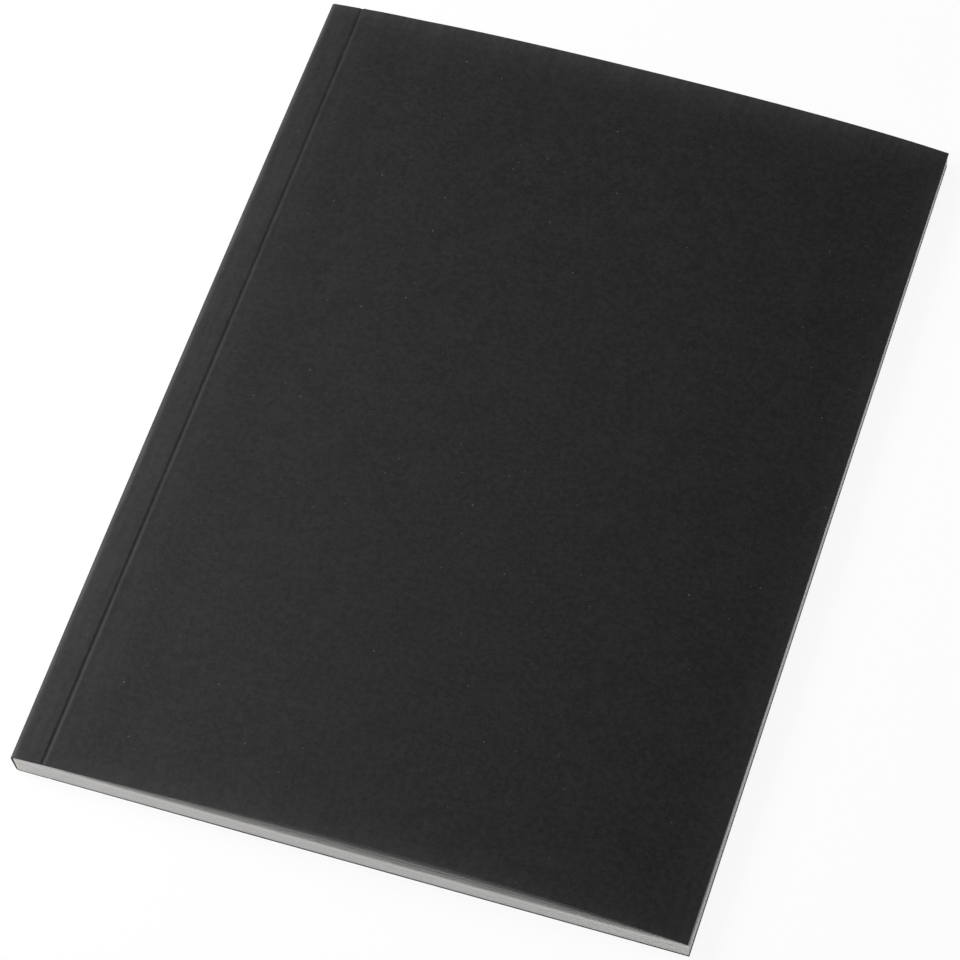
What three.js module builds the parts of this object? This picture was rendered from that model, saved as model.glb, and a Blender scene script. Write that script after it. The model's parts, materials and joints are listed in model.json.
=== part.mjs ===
// Softcover notebook, perfect bound, lying closed on its back cover.
// Millimetres. +X runs from the spine to the fore-edge, +Y from tail to head, +Z up.
// The origin is the centre of the notebook's underside.
//
// The cover is one sheet of card, wrapped round the spine and creased beside it. It is
// divided here at its two creases, where the real sheet bends. Each leaf of paper is
// divided at the same line: its bound margin stays in the block, and the rest turns.

import * as THREE from 'three';

// Trimmed size, A5
const trimWidth = 148;
const trimHeight = 210;

// Paper: one leaf of 80 g/m2, and the air between two leaves
const leafCount = 50;
const leafThickness = 0.092;
const leafGap = 0.003;

// Cover card
const coverThickness = 0.3;
const hingeWidth = 6.8;
const foldRadius = 0.8;
const spineLean = 0.9;

// Pressed crease: half of its groove lies on each side
const creaseHalfWidth = 0.6;
const creaseDepth = 0.15;
const creaseClearance = 0.02;

// Binding glue: a layer on the spine and a thin band up each side of the block
const spineGlueThickness = 0.4;
const sideGlueThickness = 0.1;
const sideGlueStop = 1.2;
const seatClearance = 0.01;

// Rise of the front cover, which has curled and no longer lies on the leaves. Each row
// holds the heights of a fifth-degree Bernstein curve from the crease to the fore-edge.
const tailRise = [2.6, 5.0, 5.2, 4.4];
const headRise = [4.6, 4.3, 4.1, 4.8];

// Facets
const foldSteps = 8;
const riseColumns = 36;
const riseRows = 14;

// Sizes that follow from the ones above
const leafPitch = leafThickness + leafGap;
const stackHeight = leafCount * leafPitch + leafGap;
const closedHeight = stackHeight + 2 * coverThickness;
const frontLeafCount = Math.ceil(leafCount / 2);
const leanAngle = Math.atan2(spineLean, closedHeight);
const foldOverhang = foldRadius * (Math.tan(leanAngle) + 1 / Math.cos(leanAngle) - 1);
const frontCrease = hingeWidth;
const backCrease = hingeWidth + spineLean;
const splitHeight = closedHeight - coverThickness - frontLeafCount * leafPitch - leafGap / 2;

const coverCard = new THREE.MeshStandardMaterial({ color: 0x303031, roughness: 0.72, metalness: 0 });
const pagePaper = new THREE.MeshStandardMaterial({ color: 0xe6e4e0, roughness: 0.9, metalness: 0 });
const bindingGlue = new THREE.MeshStandardMaterial({ color: 0xd9cfae, roughness: 0.45, metalness: 0 });

// Where the leaning spine, moved inwards by an inset, stands at a height
function spineX(height, inset) {
  const fall = (closedHeight - height) * Math.tan(leanAngle);
  return fall - foldOverhang + inset / Math.cos(leanAngle);
}

// Points of one fold of the cover, on the side that lies an inset inside the outer face.
// Both folds turn about a centre one fold radius from the spine and from the flat face.
function foldPoints(isFrontFold, inset) {
  const centreHeight = isFrontFold ? closedHeight - foldRadius : foldRadius;
  const centreX = spineX(centreHeight, foldRadius);
  const spineNormal = Math.PI + leanAngle;
  const startAngle = isFrontFold ? Math.PI / 2 : spineNormal;
  const endAngle = isFrontFold ? spineNormal : Math.PI * 1.5;
  const radius = foldRadius - inset;
  const points = [];
  for (let step = 0; step <= foldSteps; step += 1) {
    const angle = THREE.MathUtils.lerp(startAngle, endAngle, step / foldSteps);
    points.push([centreX + radius * Math.cos(angle), centreHeight + radius * Math.sin(angle)]);
  }
  return points;
}

// A solid with one outline in X and Z, as long as the notebook is tall
function prism(outline) {
  const shape = new THREE.Shape(outline.map(([x, z]) => new THREE.Vector2(x, z)));
  const geometry = new THREE.ExtrudeGeometry(shape, { depth: trimHeight, bevelEnabled: false });
  geometry.rotateX(Math.PI / 2);
  geometry.translate(0, trimHeight / 2, 0);
  return geometry;
}

// The wrapped part of the cover: front hinge strip, spine and back hinge strip
function coverSpineGeometry() {
  const frontEnd = frontCrease - creaseClearance / 2;
  const backEnd = backCrease - creaseClearance / 2;
  return prism([
    [frontEnd, closedHeight - creaseDepth],
    [frontEnd - creaseHalfWidth, closedHeight],
    ...foldPoints(true, 0),
    ...foldPoints(false, 0),
    [backEnd - creaseHalfWidth, 0],
    [backEnd, creaseDepth],
    [backEnd, coverThickness],
    ...foldPoints(false, coverThickness).reverse(),
    ...foldPoints(true, coverThickness).reverse(),
    [frontEnd, closedHeight - coverThickness],
  ]);
}

// Hot-melt glue: it fills the cover's folds and reaches a little way over both sides
function bindingGlueGeometry() {
  const faceInset = coverThickness + seatClearance;
  const innerInset = faceInset + spineGlueThickness;
  const bandInset = faceInset + sideGlueThickness;
  const frontStop = frontCrease - sideGlueStop;
  const backStop = backCrease - sideGlueStop;
  return prism([
    [frontStop, closedHeight - faceInset],
    ...foldPoints(true, faceInset),
    ...foldPoints(false, faceInset),
    [backStop, faceInset],
    [backStop, bandInset],
    [spineX(bandInset, innerInset), bandInset],
    [spineX(closedHeight - bandInset, innerInset), closedHeight - bandInset],
    [frontStop, closedHeight - bandInset],
  ]);
}

// The margins of all the leaves, pressed and glued into one block. It steps back with
// the creases at mid height, where the notebook opens into its two halves.
function boundMarginsGeometry() {
  const faceInset = coverThickness + seatClearance;
  const bandInset = faceInset + sideGlueThickness + seatClearance;
  const spineInset = faceInset + spineGlueThickness + seatClearance;
  const frontEnd = frontCrease - creaseClearance / 2;
  const backEnd = backCrease - creaseClearance / 2;
  const frontStop = frontCrease - sideGlueStop + seatClearance;
  const backStop = backCrease - sideGlueStop + seatClearance;
  return prism([
    [spineX(bandInset, spineInset), bandInset],
    [backStop, bandInset],
    [backStop, faceInset],
    [backEnd, faceInset],
    [backEnd, splitHeight],
    [frontEnd, splitHeight],
    [frontEnd, closedHeight - faceInset],
    [frontStop, closedHeight - faceInset],
    [frontStop, closedHeight - bandInset],
    [spineX(closedHeight - bandInset, spineInset), closedHeight - bandInset],
  ]);
}

// The back cover lies flat from its crease to the fore-edge
function backCoverGeometry() {
  const start = backCrease + creaseClearance / 2;
  return prism([
    [start, creaseDepth],
    [start + creaseHalfWidth, 0],
    [trimWidth, 0],
    [trimWidth, coverThickness],
    [start, coverThickness],
  ]);
}

// Height of the curled cover over its flat place: a Bernstein curve along the panel
// whose weights pass from the tail row to the head row. Both ends of it are at zero.
function coverRise(along, towardsHead) {
  const rest = 1 - along;
  const binomials = [5, 10, 10, 5];
  let rise = 0;
  for (let i = 0; i < binomials.length; i += 1) {
    const weight = THREE.MathUtils.lerp(tailRise[i], headRise[i], towardsHead);
    rise += weight * binomials[i] * along ** (i + 1) * rest ** (binomials.length - i);
  }
  return rise;
}

// A closed sheet between an upper and a lower surface given on the same grid
function sheetGeometry(stations, rows, upperPoint, lowerPoint) {
  const columns = stations.length;
  const positions = [];
  for (const pointAt of [upperPoint, lowerPoint]) {
    for (let row = 0; row <= rows; row += 1) {
      for (const station of stations) positions.push(...pointAt(station, row / rows));
    }
  }
  const lowerStart = columns * (rows + 1);
  const upper = (column, row) => row * columns + column;
  const lower = (column, row) => lowerStart + upper(column, row);
  const indices = [];
  const quad = (a, b, c, d) => indices.push(a, b, c, a, c, d);
  for (let row = 0; row < rows; row += 1) {
    for (let column = 0; column < columns - 1; column += 1) {
      const [nextColumn, nextRow] = [column + 1, row + 1];
      quad(upper(column, row), upper(nextColumn, row), upper(nextColumn, nextRow), upper(column, nextRow));
      quad(lower(column, row), lower(column, nextRow), lower(nextColumn, nextRow), lower(nextColumn, row));
    }
    const last = columns - 1;
    quad(lower(0, row), upper(0, row), upper(0, row + 1), lower(0, row + 1));
    quad(lower(last, row), lower(last, row + 1), upper(last, row + 1), upper(last, row));
  }
  for (let column = 0; column < columns - 1; column += 1) {
    quad(lower(column, 0), lower(column + 1, 0), upper(column + 1, 0), upper(column, 0));
    quad(lower(column, rows), upper(column, rows), upper(column + 1, rows), lower(column + 1, rows));
  }
  const geometry = new THREE.BufferGeometry();
  geometry.setAttribute('position', new THREE.Float32BufferAttribute(positions, 3));
  geometry.setIndex(indices);
  geometry.computeVertexNormals();
  return geometry;
}

// The front cover panel, curled up off the leaves between its crease and its fore-edge
function frontCoverGeometry() {
  const start = frontCrease + creaseClearance / 2;
  const panelWidth = trimWidth - start;
  const stations = [0, creaseHalfWidth / panelWidth];
  for (let column = 1; column <= riseColumns; column += 1) stations.push(column / riseColumns);
  const surface = (along, towardsHead, drop) => [
    start + along * panelWidth,
    (towardsHead - 0.5) * trimHeight,
    closedHeight + coverRise(along, towardsHead) - drop,
  ];
  const upperPoint = (along, towardsHead) => surface(along, towardsHead, along === 0 ? creaseDepth : 0);
  const lowerPoint = (along, towardsHead) => surface(along, towardsHead, coverThickness);
  return sheetGeometry(stations, riseRows, upperPoint, lowerPoint);
}

// One leaf from the line where it bends to the fore-edge, counted from the front
function leafMesh(number) {
  const isFrontHalf = number <= frontLeafCount;
  const start = (isFrontHalf ? frontCrease : backCrease) + creaseClearance / 2;
  const geometry = new THREE.BoxGeometry(trimWidth - start, trimHeight, leafThickness);
  const leaf = new THREE.Mesh(geometry, pagePaper);
  const top = closedHeight - coverThickness - leafGap - (number - 1) * leafPitch;
  leaf.position.set((start + trimWidth) / 2, 0, top - leafThickness / 2);
  leaf.name = `leaf_${String(number).padStart(2, '0')}`;
  return leaf;
}

function namedMesh(name, geometry, material) {
  const mesh = new THREE.Mesh(geometry, material);
  mesh.name = name;
  return mesh;
}

// The pieces are laid out from the spine, then moved so that the origin is in the middle
const notebook = new THREE.Group();
notebook.name = 'softcover_notebook';
notebook.position.x = -trimWidth / 2;

notebook.add(namedMesh('cover_spine', coverSpineGeometry(), coverCard));
notebook.add(namedMesh('front_cover', frontCoverGeometry(), coverCard));
notebook.add(namedMesh('back_cover', backCoverGeometry(), coverCard));
notebook.add(namedMesh('binding_glue', bindingGlueGeometry(), bindingGlue));
notebook.add(namedMesh('bound_margins', boundMarginsGeometry(), pagePaper));
for (let number = 1; number <= leafCount; number += 1) notebook.add(leafMesh(number));

export default notebook;
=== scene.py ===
import json
import math

import bpy
import numpy as np
from mathutils import Matrix, Vector


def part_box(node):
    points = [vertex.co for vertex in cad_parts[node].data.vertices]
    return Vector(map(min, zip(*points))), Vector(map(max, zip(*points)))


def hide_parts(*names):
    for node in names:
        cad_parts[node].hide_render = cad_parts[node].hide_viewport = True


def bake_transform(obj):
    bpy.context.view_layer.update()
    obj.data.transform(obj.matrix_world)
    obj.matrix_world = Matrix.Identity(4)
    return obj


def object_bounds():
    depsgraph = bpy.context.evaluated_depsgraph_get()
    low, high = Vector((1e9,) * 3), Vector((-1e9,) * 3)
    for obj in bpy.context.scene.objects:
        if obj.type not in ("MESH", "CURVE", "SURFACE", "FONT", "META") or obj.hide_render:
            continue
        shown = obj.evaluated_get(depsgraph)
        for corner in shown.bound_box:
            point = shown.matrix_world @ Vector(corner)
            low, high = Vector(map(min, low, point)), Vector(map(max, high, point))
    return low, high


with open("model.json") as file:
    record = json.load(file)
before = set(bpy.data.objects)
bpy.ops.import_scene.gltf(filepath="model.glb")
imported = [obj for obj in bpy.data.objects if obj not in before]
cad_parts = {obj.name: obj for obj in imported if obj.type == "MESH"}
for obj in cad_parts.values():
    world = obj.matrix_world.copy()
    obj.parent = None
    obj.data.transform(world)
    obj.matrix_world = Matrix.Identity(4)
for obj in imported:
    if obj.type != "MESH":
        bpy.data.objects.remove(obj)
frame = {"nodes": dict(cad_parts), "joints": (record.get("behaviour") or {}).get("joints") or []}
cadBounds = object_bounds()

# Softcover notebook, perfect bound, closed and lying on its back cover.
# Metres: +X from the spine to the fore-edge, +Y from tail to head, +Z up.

mm = 0.001
random = np.random.default_rng(148210)


# What the frame says: the creases, the folds and the trimmed sheet

joints = {joint["name"]: joint for joint in frame["joints"]}
frontCrease = joints["front_cover_open"]["pos_m"][0]
backCrease = joints["back_cover_open"]["pos_m"][0]
closedHeight = joints["front_cover_open"]["pos_m"][2]
boxLow, boxHigh = (np.array(corner) for corner in cadBounds)
foreEdge = float(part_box("back_cover")[1][0])
tailEdge, headEdge = float(boxLow[1]), float(boxHigh[1])
trimHeight = headEdge - tailEdge
spineEdge = float(boxLow[0])
leafCount = sum(name.startswith("leaf_") for name in frame["nodes"])
frontLeafCount = (leafCount + 1) // 2


# Grids and meshes

sharpAngle = math.radians(50)    # cut edges stay sharp, folds are shaded smooth


def closedSheet(name, upper, lower, material, tone=None):
    # A thin closed sheet from two grids of points, rows by columns, with a wall between
    # their borders. If the faces come out pointing inwards, all of them are turned.
    rows, columns = upper.shape[:2]
    points = np.concatenate([upper.reshape(-1, 3), lower.reshape(-1, 3)])
    offset = rows * columns
    index = np.arange(offset).reshape(rows, columns)
    above = [index[:-1, :-1], index[:-1, 1:], index[1:, 1:], index[1:, :-1]]
    below = [corner + offset for corner in (above[0], above[3], above[2], above[1])]
    border = np.concatenate([index[0, :], index[1:, -1], index[-1, -2::-1], index[-2:0:-1, 0]])
    following = np.roll(border, -1)
    wall = [border, border + offset, following + offset, following]
    faces = np.concatenate([np.stack(quad, -1).reshape(-1, 4) for quad in (above, below, wall)])
    a, b, c, d = (points[faces[:, i]] for i in range(4))
    volume = (np.cross(a, b) * c).sum() + (np.cross(a, c) * d).sum()
    if volume < 0:
        faces = faces[:, ::-1]
    mesh = bpy.data.meshes.new(name)
    mesh.from_pydata(points.tolist(), [], faces.tolist())
    mesh.polygons.foreach_set("use_smooth", np.ones(len(faces), bool))
    mesh.set_sharp_from_angle(angle=sharpAngle)
    if tone is not None:
        layer = mesh.attributes.new(tone[0], "FLOAT", "POINT")
        layer.data.foreach_set("value", tone[1].astype(np.float32).ravel())
    mesh.materials.append(material)
    piece = bpy.data.objects.new(name, mesh)
    bpy.context.scene.collection.objects.link(piece)
    return piece


def smoothStep(value):
    value = np.clip(value, 0, 1)
    return value * value * (3 - 2 * value)


def rippleField(x, y, waves):
    # A sum of a few long sine waves with seeded directions and phases, about -1 to 1
    total = np.zeros(np.broadcast(x, y).shape)
    for length in waves:
        heading = random.uniform(0, math.pi)
        phase = random.uniform(0, 2 * math.pi)
        along = x * math.cos(heading) + y * math.sin(heading)
        total += np.sin(2 * math.pi * along / length + phase)
    return total / len(waves)


# Materials

def linear(code):
    # An sRGB hex value as linear red, green, blue and alpha
    channels = [int(code[i:i + 2], 16) / 255 for i in (1, 3, 5)]
    return [c / 12.92 if c <= 0.04045 else ((c + 0.055) / 1.055) ** 2.4 for c in channels] + [1]


def addNode(tree, kind, inputs=None, **settings):
    # One node with its settings; an input is a value, or a socket to link from
    node = tree.nodes.new(kind)
    for name, value in settings.items():
        setattr(node, name, value)
    for name, value in (inputs or {}).items():
        if isinstance(value, bpy.types.NodeSocket):
            tree.links.new(value, node.inputs[name])
        else:
            node.inputs[name].default_value = value
    return node


def newMaterial(name):
    material = bpy.data.materials.new(name)
    material.use_nodes = True
    tree = material.node_tree
    tree.nodes.clear()
    shader = addNode(tree, "ShaderNodeBsdfPrincipled")
    addNode(tree, "ShaderNodeOutputMaterial", {"Surface": shader.outputs["BSDF"]})
    place = addNode(tree, "ShaderNodeTexCoord").outputs["Object"]
    return material, tree, shader, place


cardFinish = {
    "dark": "#101011",          # dyed fibre in the hollows
    "light": "#202021",         # fibre that lies on top
    "worn": "#4d4d4e",          # bruised fibre on the folds and along the trimmed edges, also laid on as painted light and highlight
    "dust": "#525251",
    "roughness": 0.62,
    "gloss": 0.23,              # open fibre scatters more than it mirrors
    "mottle": [                 # size, detail and share of each pattern in the mottle
        (9 * mm, 3.0, 0.14),        # uneven formation of the board
        (1.3 * mm, 2.0, 0.38),      # clumps of fibre
        (0.34 * mm, 2.0, 0.48),     # single fibres, drawn about three times too coarse to show
    ],
    "mottleRange": (0.41, 0.59),    # the part of the mix that runs from dark to light
    "scuff": 1.3 * mm,          # patches in which the folds are bruised and the painted light is broken up
    "scuffStretch": 0.12,       # drawn out along the spine
    "scuffRange": (0.35, 0.7),
    "scuffLeast": 0.5,
    "dustSpacing": 2.4 * mm,
    "dustSize": 0.19 * mm,
    "dustShare": 0.6,           # share of the spots that hold a speck
    "dustFade": 3.5,            # the higher, the more of the specks are faint
    "reliefDepth": 0.02 * mm,
    "reliefStrength": 0.6,
}


def blackCard():
    # Black card, dyed through and uncoated: pulp pressed on a wire, so it is matt with a
    # soft broad sheen, faintly cloudy, and it bruises to grey where it is folded. The same grey
    # is laid on as painted light and painted highlight on the folds, the strip, the crease and the
    # edges.
    material, tree, shader, place = newMaterial("dyed_uncoated_card")
    mottle = None
    for size, detail, share in cardFinish["mottle"]:
        noise = addNode(tree, "ShaderNodeTexNoise",
                        {"Vector": place, "Scale": 1 / size, "Detail": detail})
        added = {0: noise.outputs["Fac"], 1: share, 2: mottle.outputs[0] if mottle else 0.0}
        mottle = addNode(tree, "ShaderNodeMath", added, operation="MULTIPLY_ADD")
    low, high = cardFinish["mottleRange"]
    spread = addNode(tree, "ShaderNodeMapRange",
                     {"Value": mottle.outputs[0], "From Min": low, "From Max": high})
    fibre = addNode(tree, "ShaderNodeMix",
                    {0: spread.outputs[0], 6: linear(cardFinish["dark"]),
                     7: linear(cardFinish["light"])}, data_type="RGBA")
    worn = addNode(tree, "ShaderNodeAttribute", attribute_name="foldWear")
    stretched = addNode(tree, "ShaderNodeMapping",
                        {"Vector": place, "Scale": (1.0, cardFinish["scuffStretch"], 1.0)})
    scuff = addNode(tree, "ShaderNodeTexNoise",
                    {"Vector": stretched.outputs[0], "Scale": 1 / cardFinish["scuff"],
                     "Detail": 4.0})
    low, high = cardFinish["scuffRange"]
    scuff = addNode(tree, "ShaderNodeMapRange",
                    {"Value": scuff.outputs["Fac"], "From Min": low, "From Max": high,
                     "To Min": cardFinish["scuffLeast"]})
    # wear and painted light: this mask lightens the card where it is worn and where it is lit
    bruiseAndLight = addNode(tree, "ShaderNodeMath", {0: worn.outputs["Fac"], 1: scuff.outputs[0]},
                     operation="MULTIPLY")
    rubbedAndLit = addNode(tree, "ShaderNodeMix",
                     {0: bruiseAndLight.outputs[0], 6: fibre.outputs[2],
                      7: linear(cardFinish["worn"])}, data_type="RGBA")
    cells = addNode(tree, "ShaderNodeTexVoronoi",
                    {"Vector": place, "Scale": 1 / cardFinish["dustSpacing"]})
    reach = cardFinish["dustSize"] / cardFinish["dustSpacing"]
    speck = addNode(tree, "ShaderNodeMath", {0: cells.outputs["Distance"], 1: reach},
                    operation="LESS_THAN")
    chance = addNode(tree, "ShaderNodeSeparateColor", {"Color": cells.outputs["Color"]})
    held = addNode(tree, "ShaderNodeMath",
                   {0: chance.outputs["Red"], 1: cardFinish["dustShare"]}, operation="LESS_THAN")
    speck = addNode(tree, "ShaderNodeMath", {0: speck.outputs[0], 1: held.outputs[0]},
                    operation="MULTIPLY")
    paleness = addNode(tree, "ShaderNodeMath",
                       {0: chance.outputs["Green"], 1: cardFinish["dustFade"]}, operation="POWER")
    speck = addNode(tree, "ShaderNodeMath", {0: speck.outputs[0], 1: paleness.outputs[0]},
                    operation="MULTIPLY")
    dusty = addNode(tree, "ShaderNodeMix",
                    {0: speck.outputs[0], 6: rubbedAndLit.outputs[2],
                     7: linear(cardFinish["dust"])}, data_type="RGBA")
    relief = addNode(tree, "ShaderNodeBump",
                     {"Height": mottle.outputs[0], "Distance": cardFinish["reliefDepth"],
                      "Strength": cardFinish["reliefStrength"]})
    tree.links.new(dusty.outputs[2], shader.inputs["Base Color"])
    tree.links.new(relief.outputs[0], shader.inputs["Normal"])
    shader.inputs["Roughness"].default_value = cardFinish["roughness"]
    shader.inputs["Specular IOR Level"].default_value = cardFinish["gloss"]
    return material


paperFinish = {
    "low": "#c9c8c7",           # thinner and denser places of the sheet
    "high": "#d4d3d2",
    "roughness": 0.85,
    "gloss": 0.3,
    "fibre": 0.5 * mm,
    "fibreRange": (0.3, 0.7),
    "reliefDepth": 0.008 * mm,
    "reliefStrength": 0.5,
}


def writingPaper():
    # Woodfree writing paper, 80 g/m2, machine finished: an even off-white with no gloss.
    # Each leaf takes light a little differently, and the first ones are darkened as painted
    # shade of the gap under the curled cover, which the tone carries.
    material, tree, shader, place = newMaterial("machine_finished_writing_paper")
    fibre = addNode(tree, "ShaderNodeTexNoise",
                    {"Vector": place, "Scale": 1 / paperFinish["fibre"], "Detail": 3.0})
    low, high = paperFinish["fibreRange"]
    even = addNode(tree, "ShaderNodeMapRange",
                   {"Value": fibre.outputs["Fac"], "From Min": low, "From Max": high})
    sheet = addNode(tree, "ShaderNodeMix",
                    {0: even.outputs[0], 6: linear(paperFinish["low"]),
                     7: linear(paperFinish["high"])}, data_type="RGBA")
    # the tone holds each leaf's random tone and the painted shade on the first leaves
    tone = addNode(tree, "ShaderNodeAttribute", attribute_name="leafTone")
    shade = addNode(tree, "ShaderNodeVectorMath",
                    {0: sheet.outputs[2], "Scale": tone.outputs["Fac"]}, operation="SCALE")
    relief = addNode(tree, "ShaderNodeBump",
                     {"Height": fibre.outputs["Fac"], "Distance": paperFinish["reliefDepth"],
                      "Strength": paperFinish["reliefStrength"]})
    tree.links.new(shade.outputs[0], shader.inputs["Base Color"])
    tree.links.new(relief.outputs[0], shader.inputs["Normal"])
    shader.inputs["Roughness"].default_value = paperFinish["roughness"]
    shader.inputs["Specular IOR Level"].default_value = paperFinish["gloss"]
    return material


glueFinish = {
    "thin": "#dad7cb",
    "thick": "#cdc7b4",
    "roughness": 0.38,
    "flow": 2.4 * mm,
    "waxiness": 0.15,           # share of light that enters and comes out again
    "waxDepth": (0.4 * mm, 0.35 * mm, 0.2 * mm),
}


def hotMeltGlue():
    # EVA hot-melt glue, rolled on molten and set: cream, waxy and slightly glossy
    material, tree, shader, place = newMaterial("rolled_hot_melt_glue")
    flow = addNode(tree, "ShaderNodeTexNoise",
                   {"Vector": place, "Scale": 1 / glueFinish["flow"], "Detail": 2.0})
    body = addNode(tree, "ShaderNodeMix",
                   {0: flow.outputs["Fac"], 6: linear(glueFinish["thin"]),
                    7: linear(glueFinish["thick"])}, data_type="RGBA")
    tree.links.new(body.outputs[2], shader.inputs["Base Color"])
    shader.inputs["Roughness"].default_value = glueFinish["roughness"]
    shader.inputs["Subsurface Weight"].default_value = glueFinish["waxiness"]
    shader.inputs["Subsurface Radius"].default_value = glueFinish["waxDepth"]
    return material


coverCard = blackCard()
pagePaper = writingPaper()
bindingGlue = hotMeltGlue()
print("materials made")


# Cover: one sheet of card. Its outer face is a path round the spine, and every row of
# the grid is that path at another height along the spine.

cover = {
    "thickness": 0.3 * mm,
    "foldRadius": 0.8 * mm,
    "creaseNear": 0.7 * mm,       # from the groove's bottom to its side towards the spine
    "creaseFar": 0.45 * mm,       # and to the steeper side towards the panel
    "creaseDepth": 0.17 * mm,
    "creaseShift": 0.32 * mm,     # the groove's bottom lies this far past the fold line
    "ridge": 0.08 * mm,           # card pushed up beside the groove, on the panel's side
    "ridgeReach": 1.7 * mm,
    "stripDrop": 0.12 * mm,       # the strip beside the spine slopes down to the fold
    "spineBow": 0.3 * mm,         # the spine swells a little at mid length
    "spineSoak": 0.15 * mm,       # glue soaked into the card thickens it round the spine
    "seam": 2.4 * mm,             # hidden butt between the two meshes, on the back strip
    "tailRise": [2.6, 5.0, 5.2, 4.4],
    "headRise": [3.9, 3.4, 3.5, 3.8],
    "tailSwell": 0.3 * mm,        # the curl lifts strip and block at the crease, less at the tail
    "headSwell": 0.57 * mm,
    "swellReach": 18 * mm,
    "creaseSkew": 0.5 * mm,       # the crease was pressed slightly askew
    "creaseTrue": 0.35,           # share of the length from the tail at which it is in place
    "spineSkew": 0.25 * mm,       # the spine swells more towards the tail than towards the head
    "foreEdgeNip": 0.33 * mm,     # the block is thinner at the fore-edge than at the spine
    "tailPull": 0.35 * mm,        # the curl draws the tail end of the fore-edge in
    "headPush": 0.15 * mm,        # and lets the head end stand out a little
    "pullStart": 1 / 6,           # share of the panel at which both begin
    "backLedge": 0.14 * mm,       # the back cover stands out past the leaves' cut edges
    "ledgeFade": 0.6,             # and by this share less at the head
    "tailLedge": 0.35,            # share of the ledge at the tail
    "tailLedgeStart": 0.3,        # share of the panel over which that grows
    "ripple": 0.05 * mm,
    "rippleLengths": [110 * mm, 70 * mm, 43 * mm],
    "rows": 90,
    "crowding": 0.12,             # draws the panel's columns together at mid width
    "bendBefore": 0.1 * mm,       # the card bends from just before the crease
    "bendAfter": 1.3 * mm,        # to just past its groove
}

leanFall = backCrease - frontCrease
leanAngle = math.atan2(leanFall, closedHeight)
foldOverhang = cover["foldRadius"] * (math.tan(leanAngle) + 1 / math.cos(leanAngle) - 1)
panelWidth = foreEdge - frontCrease


def spineX(height, inset):
    # X of the leaning spine, moved inwards by an inset, at a height
    fall = (closedHeight - height) * math.tan(leanAngle)
    return spineEdge + fall - foldOverhang + inset / math.cos(leanAngle)


def foldArc(isFrontFold, inset, steps=12):
    # One fold as an arc about a centre one fold radius inside the spine and the flat face
    radius = cover["foldRadius"]
    centreZ = closedHeight - radius if isFrontFold else radius
    centreX = spineX(centreZ, radius)
    spineNormal = math.pi + leanAngle
    ends = (spineNormal, math.pi / 2) if isFrontFold else (1.5 * math.pi, spineNormal)
    angle = np.linspace(*ends, steps)
    x = centreX + (radius - inset) * np.cos(angle)
    return np.stack([x, centreZ + (radius - inset) * np.sin(angle)], -1)


def coverRise(along, towardsHead):
    # Height of the curl: a fifth-degree Bernstein curve from crease to fore-edge, whose
    # weights pass from the tail's to the head's
    rise = 0
    for i, binomial in enumerate([5, 10, 10, 5]):
        weight = cover["tailRise"][i] * (1 - towardsHead) + cover["headRise"][i] * towardsHead
        rise = rise + weight * binomial * along ** (i + 1) * (1 - along) ** (4 - i)
    return rise * mm


def wrappedPath(inset):
    # Points from the seam on the back strip, round the spine, to the front crease's groove
    seamX = backCrease - cover["seam"]
    lowerFold, upperFold = foldArc(False, inset), foldArc(True, inset)
    strip = np.stack([np.linspace(seamX, lowerFold[0, 0], 6)[:-1], np.full(5, inset)], -1)
    rise = np.linspace(0, 1, 12)[1:-1, None]
    spine = lowerFold[-1] * (1 - rise) + upperFold[0] * rise
    topZ = closedHeight - inset
    start = frontCrease + cover["creaseShift"] - cover["creaseNear"]
    top = np.stack([np.linspace(upperFold[-1, 0], start, 10)[1:], np.full(9, topZ)], -1)
    return np.concatenate([strip, lowerFold, spine, upperFold, top])


def grooveDepth(x, crease):
    # Cosine valley of the pressed crease, steeper towards the panel, zero at both sides
    across = x - crease - cover["creaseShift"]
    across = np.clip(across / np.where(across < 0, cover["creaseNear"], cover["creaseFar"]), -1, 1)
    return cover["creaseDepth"] * 0.5 * (1 + np.cos(math.pi * across))


def ridgeHeight(x, crease):
    # Low swelling beside the groove, away from the spine, that falls off gently
    across = x - crease - cover["creaseShift"] - cover["creaseFar"]
    across = across / np.where(across < 0, cover["creaseFar"], cover["ridgeReach"])
    return cover["ridge"] * 0.5 * (1 + np.cos(math.pi * np.clip(across, -1, 1)))


def stripFall(x):
    # How far the strip beside the spine has sunk, from nothing at the crease to all at the fold
    return cover["stripDrop"] * np.clip((frontCrease - x) / (frontCrease - spineEdge), 0, 1) ** 2


def nipAt(x):
    # How far the block is pressed together, from nothing at the crease to all at the edge
    return cover["foreEdgeNip"] * smoothStep((x - frontCrease) / panelWidth)


def besideCrease(x):
    # One at the crease, in a straight line to nothing at the fold, gently to nothing on the panel
    foldEnd = spineEdge + cover["foldRadius"]
    climb = np.clip((x - foldEnd) / (frontCrease - foldEnd), 0, 1)
    return climb * (1 - smoothStep((x - frontCrease) / cover["swellReach"]))


def swellAt(x, towardsHead):
    # How far the curl has lifted the top of the block on both sides of the crease
    swell = cover["tailSwell"] + (cover["headSwell"] - cover["tailSwell"]) * towardsHead
    return swell * besideCrease(x)


# Wear and painted light: a narrow rubbed band on the outside of both folds, which also stands
# in for their painted highlight, a faint lightening over the strip that is painted light, a
# painted highlight along the swelling beside the groove, and in from the three trimmed edges
# a greying that is partly rubbed and partly painted light

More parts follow.
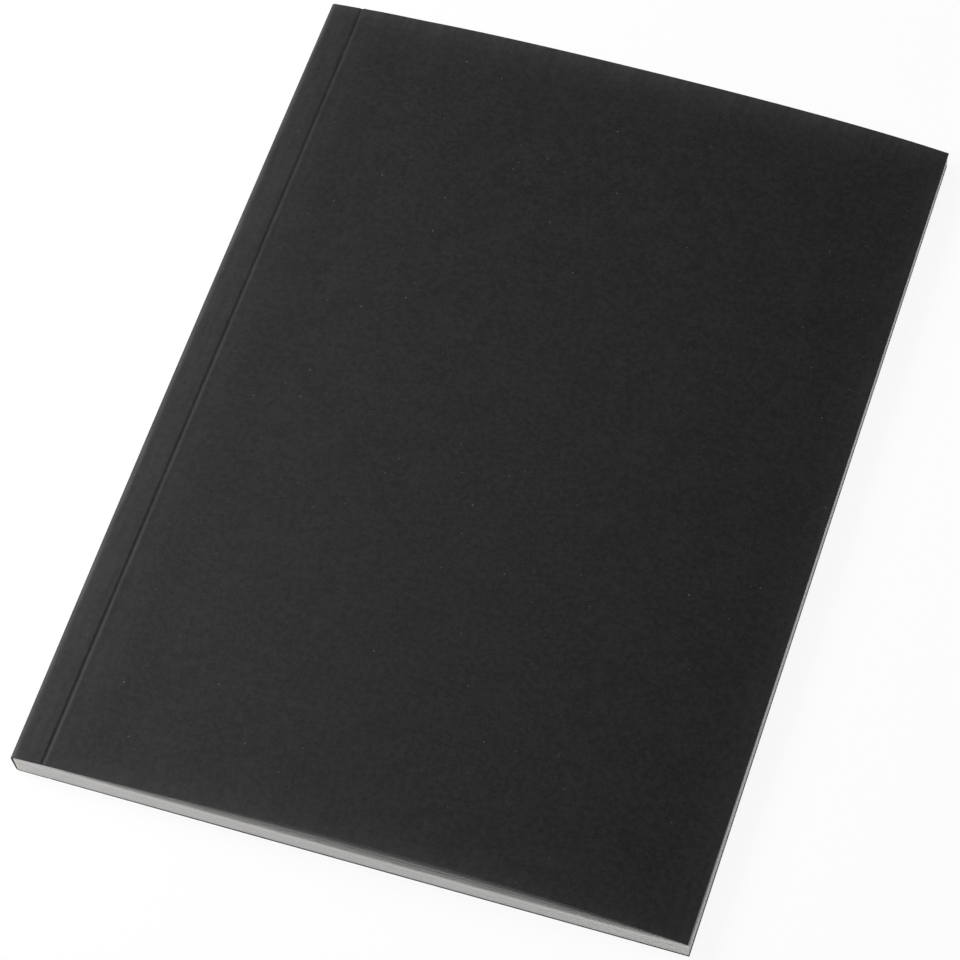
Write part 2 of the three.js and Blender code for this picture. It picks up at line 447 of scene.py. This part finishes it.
coverWearAndLight = {
    # the upper fold's band is rubbed wear that also carries the fold's painted highlight
    "foldInset": 0.35,            # in fold radii: the band's centre, in from the spine
    "foldReach": 0.8,             # and how far it reaches
    "lowerFold": 0.7,             # the lower fold is rubbed less, over a wider band
    "lowerReach": 0.9,
    # painted light: the strip beside the spine is lightened where it catches the light
    "handled": 0.2,
    "handledReach": 11 * mm,
    "lipAtTail": 0.45,            # painted highlight on the swelling, weaker towards the head
    "lipFade": 0.2,
    "lipShift": 1.1,              # its centre, in widths of the groove's far side
    "lipReach": 0.36 * mm,
    # the trimmed edges are lighter, partly rubbed and partly painted light, most at the head
    "headTrim": 0.45,
    "tailTrim": 0.2,
    "foreTrim": 0.2,
    "trimReach": 4 * mm,
}


def wearAndLightAt(outer, towardsHead, skew):
    # The strongest of all wear and painted-light marks at each point of the outer face
    x, y, z = (outer[..., axis] for axis in range(3))
    foldLine = spineEdge + coverWearAndLight["foldInset"] * cover["foldRadius"]
    fromFold = np.hypot(x - foldLine, z - closedHeight)
    wearAndLight = np.exp(-(fromFold / (coverWearAndLight["foldReach"] * cover["foldRadius"])) ** 2)
    fromLower = np.hypot(x - spineX(0, 0), z) / (coverWearAndLight["lowerReach"] * cover["foldRadius"])
    wearAndLight = np.maximum(wearAndLight, coverWearAndLight["lowerFold"] * np.exp(-fromLower ** 2))
    fromSpine = (x - spineEdge) / coverWearAndLight["handledReach"]
    wearAndLight = np.maximum(wearAndLight, coverWearAndLight["handled"] * np.exp(-fromSpine ** 2))
    lipLine = frontCrease + cover["creaseShift"] + skew + coverWearAndLight["lipShift"] * cover["creaseFar"]
    lip = coverWearAndLight["lipAtTail"] - coverWearAndLight["lipFade"] * towardsHead
    wearAndLight = np.maximum(wearAndLight, lip * np.exp(-((x - lipLine) / coverWearAndLight["lipReach"]) ** 2))
    trims = {"headTrim": headEdge - y, "tailTrim": y - tailEdge, "foreTrim": foreEdge - x}
    for name, distance in trims.items():
        wearAndLight = np.maximum(wearAndLight, coverWearAndLight[name] * np.exp(-distance / coverWearAndLight["trimReach"]))
    return wearAndLight


def makeFrontSheet():
    y = np.linspace(tailEdge, headEdge, cover["rows"])[:, None]
    towardsHead = (y - tailEdge) / trimHeight
    near, far, ridgeReach = cover["creaseNear"], cover["creaseFar"], cover["ridgeReach"]
    groove = frontCrease + cover["creaseShift"] + np.concatenate([
        np.linspace(-near, 0, 12)[1:-1], np.linspace(0, far, 9),
        far + np.linspace(0, ridgeReach, 9)[1:]])
    reach = np.linspace(0, 1, 60)[1:]
    reach = reach + cover["crowding"] * np.sin(2 * math.pi * reach) / math.pi
    flatX = np.concatenate([groove, groove[-1] + (foreEdge - groove[-1]) * reach])
    along = np.clip((flatX - frontCrease) / panelWidth, 0, 1)
    waves = rippleField(flatX[None, :], y, cover["rippleLengths"])
    ripple = cover["ripple"] * waves * np.sin(math.pi * along)
    nearTail = (1 - towardsHead) ** 2
    pull = cover["tailPull"] * nearTail - cover["headPush"] * (1 - nearTail)
    pull = pull * smoothStep((along - cover["pullStart"]) / (1 - cover["pullStart"]))
    skew = cover["creaseSkew"] * (towardsHead - cover["creaseTrue"])
    bow = cover["spineBow"] * np.sin(math.pi * towardsHead)
    bow = bow + cover["spineSkew"] * (0.5 - towardsHead)
    panelX = flatX - pull + skew * besideCrease(flatX)
    panelTop = closedHeight + coverRise(along, towardsHead) + ripple
    panelTop = panelTop - nipAt(flatX) + swellAt(flatX, towardsHead)
    pressed = grooveDepth(flatX, frontCrease) - ridgeHeight(flatX, frontCrease)
    grids = []
    for inset in (0, cover["thickness"]):
        x, z = wrappedPath(inset).T
        upward = z / closedHeight
        towardsFold = np.clip((frontCrease - x) / (frontCrease - spineEdge), 0, 1)
        soaked = cover["spineSoak"] * towardsFold ** 3 * (inset == 0)
        outwards = bow * towardsFold * upward + soaked
        wrappedX = x - outwards + skew * besideCrease(x) * upward
        wrappedZ = z + (swellAt(x, towardsHead) - stripFall(x)) * upward
        panelZ = panelTop - inset - pressed * (inset == 0)
        x = np.concatenate([wrappedX, panelX], 1)
        z = np.concatenate([wrappedZ, panelZ], 1)
        grids.append(np.stack([x, np.broadcast_to(y, x.shape), z], -1))
    # wear and painted light, handed to the card's shader as one attribute
    wearAndLight = wearAndLightAt(grids[0], towardsHead, skew)
    tone = np.concatenate([wearAndLight.ravel(), np.zeros(wearAndLight.size)])
    return closedSheet("cover_front_and_spine", grids[0], grids[1], coverCard, ("foldWear", tone))


frontSheet = makeFrontSheet()
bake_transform(frontSheet)
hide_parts("front_cover", "cover_spine")


def makeBackSheet():
    y = np.linspace(tailEdge, headEdge, 24)[:, None]
    seamX = backCrease - cover["seam"]
    groove = backCrease + cover["creaseShift"] + np.concatenate([
        np.linspace(-cover["creaseNear"], 0, 10)[:-1], np.linspace(0, cover["creaseFar"], 8)])
    x = np.concatenate([np.linspace(seamX, groove[0], 5)[:-1], groove,
                        np.linspace(groove[-1], foreEdge, 30)[1:]])
    shape = (len(y), len(x))
    ledge = cover["backLedge"] * (1 - cover["ledgeFade"] * (y[:, 0] - tailEdge) / trimHeight)
    growth = smoothStep((x - backCrease) / (cover["tailLedgeStart"] * panelWidth))
    grids = []
    for z in (grooveDepth(x, backCrease), np.full(x.shape, cover["thickness"])):
        grid = np.stack([np.broadcast_to(part, shape) for part in (x, y, z)], -1)
        grid[:, -1, 0] += ledge
        grid[0, :, 1] -= cover["tailLedge"] * cover["backLedge"] * growth
        grids.append(grid)
    tone = np.zeros(2 * len(y) * len(x))
    return closedSheet("cover_back", grids[1], grids[0], coverCard, ("foldWear", tone))


backSheet = makeBackSheet()
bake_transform(backSheet)
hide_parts("back_cover")
print("cover made")


# Leaves: each is one sheet from the glue to the fore-edge and bends beside the crease

leaf = {
    "thickness": 0.088 * mm,
    "glueDepth": 0.43 * mm,       # glue and gaps between the card and the leaf's bound edge
    "bend": 7 * mm,               # length over which a leaf turns beside the crease
    "edgeScatter": 0.025 * mm,    # how far the guillotine leaves one leaf past the next
    "toneScatter": 0.03,
    "greyed": 0.22,               # painted shade of the gap under the curled cover: darkest on the first leaf, the next ones less
    "greyFade": 1.3,              # leaves over which that falls to a third
    "lift": 0.5,                  # share of the cover's curl that the first leaf follows
    "liftFade": 1.5,              # leaves over which that share falls to a third
    "rows": 24,
}


def makeLeaf(number):
    crease = frontCrease if number <= frontLeafCount else backCrease
    low, high = (float(corner[2]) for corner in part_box(f"leaf_{number:02d}"))
    middle = (low + high) / 2
    start = spineX(middle, cover["thickness"] + leaf["glueDepth"])
    bend = np.linspace(crease, crease + leaf["bend"], 15)
    x = np.concatenate([np.linspace(start, crease, 4)[:-1], bend,
                        np.linspace(bend[-1], foreEdge, 14)[1:]])
    ends = random.normal(0, leaf["edgeScatter"], 3).clip(-2 * leaf["edgeScatter"], 0)
    y = np.linspace(tailEdge - ends[0], headEdge + ends[1], leaf["rows"])[:, None]
    edge = ends[2] * smoothStep((x - crease) / (foreEdge - crease))
    share = (middle - cover["thickness"]) / (closedHeight - 2 * cover["thickness"])
    lift = leaf["lift"] * math.exp((1 - number) / leaf["liftFade"])
    along = np.clip((x - frontCrease) / panelWidth, 0, 1)
    towardsHead = (y - tailEdge) / trimHeight
    pressed = nipAt(x) + stripFall(x) - swellAt(x, towardsHead)
    z = middle - pressed * share + lift * coverRise(along, towardsHead)
    shape = (len(y), len(x))
    grids = [np.stack([np.broadcast_to(part, shape) for part in (x + edge, y, z + half)], -1)
             for half in (leaf["thickness"] / 2, -leaf["thickness"] / 2)]
    # painted shade: the first leaves are darkened for the gap under the lifted cover
    greyed = leaf["greyed"] * math.exp((1 - number) / leaf["greyFade"])
    tone = 1 - abs(random.normal(0, leaf["toneScatter"])) - greyed
    tone = np.full(2 * shape[0] * shape[1], tone)
    piece = closedSheet(f"paper_leaf_{number:02d}", grids[0], grids[1], pagePaper,
                        ("leafTone", tone))
    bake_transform(piece)
    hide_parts(f"leaf_{number:02d}", "bound_margins")
    return piece


leaves = [makeLeaf(number) for number in range(1, leafCount + 1)]
print("leaves made:", len(leaves))


# Binding glue keeps its own solid and only takes its finish

glue = frame["nodes"]["binding_glue"]
glue.data.materials.clear()
glue.data.materials.append(bindingGlue)


# Floor, light and camera

stage = {
    "floorSize": 6.0,
    "floorGap": 0.05 * mm,        # keeps the floor clear of the cover's underside
    "floorColour": "#f7f7f7",
    "floorRoughness": 0.9,
    "floorWhite": 0.9,            # share of the world's white in it, the rest holds the shadow
    "worldColour": "#ffffff",
    "worldStrength": 0.23,
}


def makeFloor():
    half, level = stage["floorSize"] / 2, -stage["floorGap"]
    corners = [(x * half, y * half, level) for x, y in ((-1, -1), (1, -1), (1, 1), (-1, 1))]
    mesh = bpy.data.meshes.new("studio_floor")
    mesh.from_pydata(corners, [], [(0, 1, 2, 3)])
    material, tree, shader, place = newMaterial("painted_board_floor")
    shader.inputs["Base Color"].default_value = linear(stage["floorColour"])
    shader.inputs["Roughness"].default_value = stage["floorRoughness"]
    rays = addNode(tree, "ShaderNodeLightPath").outputs
    white = addNode(tree, "ShaderNodeEmission",
                    {"Color": linear(stage["worldColour"]), "Strength": 1.0})
    clear = addNode(tree, "ShaderNodeBsdfTransparent")
    # A gloss or a clear piece sees the share of white in the floor
    mirrored = addNode(tree, "ShaderNodeMath",
                       {0: rays["Is Glossy Ray"], 1: rays["Is Transmission Ray"]},
                       operation="MAXIMUM")
    mirrored = addNode(tree, "ShaderNodeMath", {0: mirrored.outputs[0], 1: stage["floorWhite"]},
                       operation="MULTIPLY")
    board = addNode(tree, "ShaderNodeMixShader",
                    {0: mirrored.outputs[0], 1: shader.outputs[0], 2: white.outputs[0]})
    # The camera sees the same share of the white surroundings through the floor, and lamps
    # shine through it: the spine swings below it when the notebook is opened at its back
    through = addNode(tree, "ShaderNodeMath", {0: rays["Is Camera Ray"], 1: stage["floorWhite"]},
                      operation="MULTIPLY")
    through = addNode(tree, "ShaderNodeMath", {0: through.outputs[0], 1: rays["Is Shadow Ray"]},
                      operation="MAXIMUM")
    # From below it is left out, so that the notebook's underside shows
    side = addNode(tree, "ShaderNodeNewGeometry").outputs["Backfacing"]
    through = addNode(tree, "ShaderNodeMath", {0: through.outputs[0], 1: side},
                      operation="MAXIMUM")
    floorFace = addNode(tree, "ShaderNodeMixShader",
                        {0: through.outputs[0], 1: board.outputs[0], 2: clear.outputs[0]})
    target = next(node for node in tree.nodes if node.type == "OUTPUT_MATERIAL")
    tree.links.new(floorFace.outputs[0], target.inputs["Surface"])
    mesh.materials.append(material)
    floor = bpy.data.objects.new("studio_floor", mesh)
    bpy.context.scene.collection.objects.link(floor)
    return floor


makeFloor()


def makeWorld():
    world = bpy.data.worlds.new("studio")
    world.use_nodes = True
    tree = world.node_tree
    tree.nodes.clear()
    rays = addNode(tree, "ShaderNodeLightPath")
    colour = linear(stage["worldColour"])
    lit = addNode(tree, "ShaderNodeBackground",
                  {"Color": colour, "Strength": stage["worldStrength"]})
    seen = addNode(tree, "ShaderNodeBackground", {"Color": colour, "Strength": 1.0})
    choice = addNode(tree, "ShaderNodeMixShader",
                     {0: rays.outputs["Is Camera Ray"], 1: lit.outputs[0], 2: seen.outputs[0]})
    addNode(tree, "ShaderNodeOutputWorld", {"Surface": choice.outputs[0]})
    bpy.context.scene.world = world


makeWorld()


def makeLamp(name, place, aim, size, power):
    data = bpy.data.lights.new(name, "AREA")
    data.shape = "RECTANGLE"
    data.size, data.size_y = size
    data.energy = power
    lamp = bpy.data.objects.new(name, data)
    lamp.location = place
    lamp.rotation_euler = (Vector(aim) - Vector(place)).to_track_quat("-Z", "Y").to_euler()
    bpy.context.scene.collection.objects.link(lamp)
    return lamp


makeLamp("soft_box_left", (-0.45, -0.04, 0.33), (0, 0, 0), (0.3, 0.3), 3.0)
makeLamp("soft_box_back", (-0.6, 0.5, 0.7), (0, 0, 0), (0.5, 0.5), 1.55)
makeLamp("soft_box_top", (-0.3, 0.15, 0.95), (0, 0, 0), (0.5, 0.5), 1.0)
makeLamp("strip_box_tail", (-0.1, -0.9, 0.09), (0, 0, 0), (0.5, 0.1), 1.5)
makeLamp("strip_box_right", (0.8, -0.1, 0.16), (0, 0, 0), (0.5, 0.2), 1.3)

view = {
    "place": (172.3 * mm, -509.7 * mm, 834.7 * mm),
    "aim": (-2.08 * mm, -7.34 * mm, 0),
    "roll": 1.705,                # degrees
    "lens": 169.59,               # in the sensor's own millimetres
    "sensor": 36.0,
    "clip": (0.01, 20.0),
}


def makeCamera():
    data = bpy.data.cameras.new("camera")
    data.lens = view["lens"]
    data.sensor_width = view["sensor"]
    data.clip_start, data.clip_end = view["clip"]
    camera = bpy.data.objects.new("camera", data)
    sight = Vector(view["aim"]) - Vector(view["place"])
    look = sight.to_track_quat("-Z", "Y").to_matrix().to_4x4()
    turn = Matrix.Rotation(math.radians(-view["roll"]), 4, "Z")
    camera.matrix_world = Matrix.Translation(view["place"]) @ look @ turn
    bpy.context.scene.collection.objects.link(camera)
    bpy.context.scene.camera = camera


makeCamera()
bpy.context.scene.view_settings.view_transform = "Standard"
print("stage, light and camera set")
